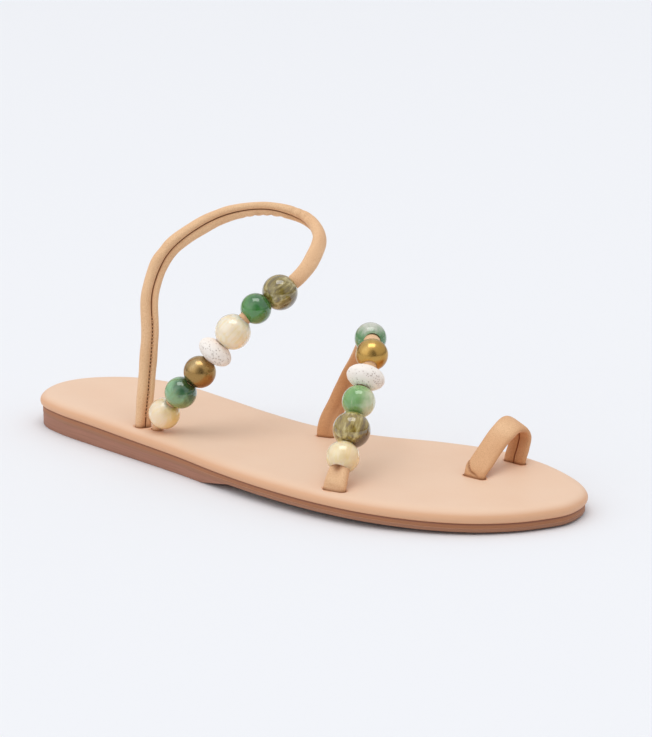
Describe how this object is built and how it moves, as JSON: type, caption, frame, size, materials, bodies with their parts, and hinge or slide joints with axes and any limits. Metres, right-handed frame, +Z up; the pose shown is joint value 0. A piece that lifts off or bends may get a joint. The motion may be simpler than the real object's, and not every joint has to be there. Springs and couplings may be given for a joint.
{
  "type": "beaded sandal",
  "caption": "Flat leather sandal for a right foot: padded footbed on a thin grooved sole with a low heel, a toe ring, and an ankle loop and instep strap strung with round beads.",
  "frame": {"origin": "middle of the bounding box on the floor that the sole stands on", "axes": "+X from heel to toe, +Y to the inner (big toe) side of this right shoe, +Z up from the floor"},
  "size_m": [0.25, 0.0912, 0.0943],
  "materials": {
    "footbed_leather": "smooth peach-tan leather over thin padding, rolled over the edge",
    "strap_leather": "soft camel leather folded in on itself",
    "outsole_rubber": "matt brown sole with a fine groove round its side",
    "lift_rubber": "matt brown heel layer",
    "olive_glass": "dark olive glass with streaks",
    "jade": "polished green stone with pale and dark swirls",
    "cream_glass": "milky cream glass, glossy",
    "lava_stone": "matt white stone with small pits",
    "gold": "polished antique gold"
  },
  "bodies": {
    "root": {"outsole": "outsole_rubber", "heel_lift": "lift_rubber", "footbed": "footbed_leather", "ankle_strap": "strap_leather", "forefoot_strap": "strap_leather", "toe_ring": "strap_leather", "ankle_bead_1_olive_glass": "olive_glass", "ankle_bead_2_jade": "jade", "ankle_bead_3_cream_glass": "cream_glass", "ankle_bead_4_lava_stone": "lava_stone", "ankle_bead_5_gold": "gold", "ankle_bead_6_jade": "jade", "ankle_bead_7_cream_glass": "cream_glass", "forefoot_bead_1_jade": "jade", "forefoot_bead_2_gold": "gold", "forefoot_bead_3_lava_stone": "lava_stone", "forefoot_bead_4_jade": "jade", "forefoot_bead_5_olive_glass": "olive_glass", "forefoot_bead_6_cream_glass": "cream_glass"}
  },
  "joints": []
}
